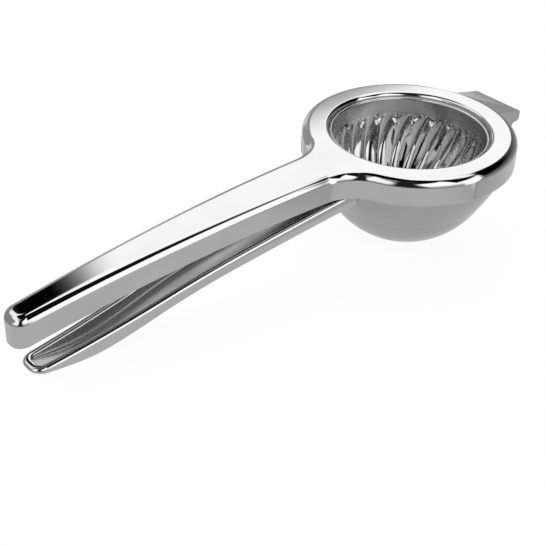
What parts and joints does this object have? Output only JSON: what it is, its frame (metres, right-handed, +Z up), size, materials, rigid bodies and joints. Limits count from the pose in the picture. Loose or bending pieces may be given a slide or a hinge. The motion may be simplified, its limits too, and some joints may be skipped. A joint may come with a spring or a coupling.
{
  "type": "citrus press juicer",
  "caption": "Hand-held citrus press: a strainer bowl on a channel handle, hinged to a ringed lever that carries a fluted press cup.",
  "frame": {"origin": "centre of the bounding box on the table that the closed press lies on, under its bowl and heel", "axes": "+X from the handle tips to the hinge, +Z up from the table, +Y across the ring"},
  "size_m": [0.231, 0.084, 0.0487],
  "materials": {
    "lever_steel": "mirror polished",
    "cup_steel": "mirror polished, fluted",
    "bowl_steel": "polished",
    "rivet_steel": "polished"
  },
  "bodies": {
    "lower_lever": {"bowl": "bowl_steel", "lower_handle": "lever_steel", "hinge_leaf": "lever_steel"},
    "press_lever": {"upper_lever": "lever_steel", "press_cup": "cup_steel", "hinge_bracket": "lever_steel", "hinge_pin": "rivet_steel", "pin_washer": "rivet_steel"}
  },
  "joints": [
    {"name": "lever_hinge", "type": "hinge", "parent": "lower_lever", "child": "press_lever", "pos_m": [0.10794, 0, 0.03691], "axis": [0, 1, 0], "range_deg": [0, 120]}
  ]
}
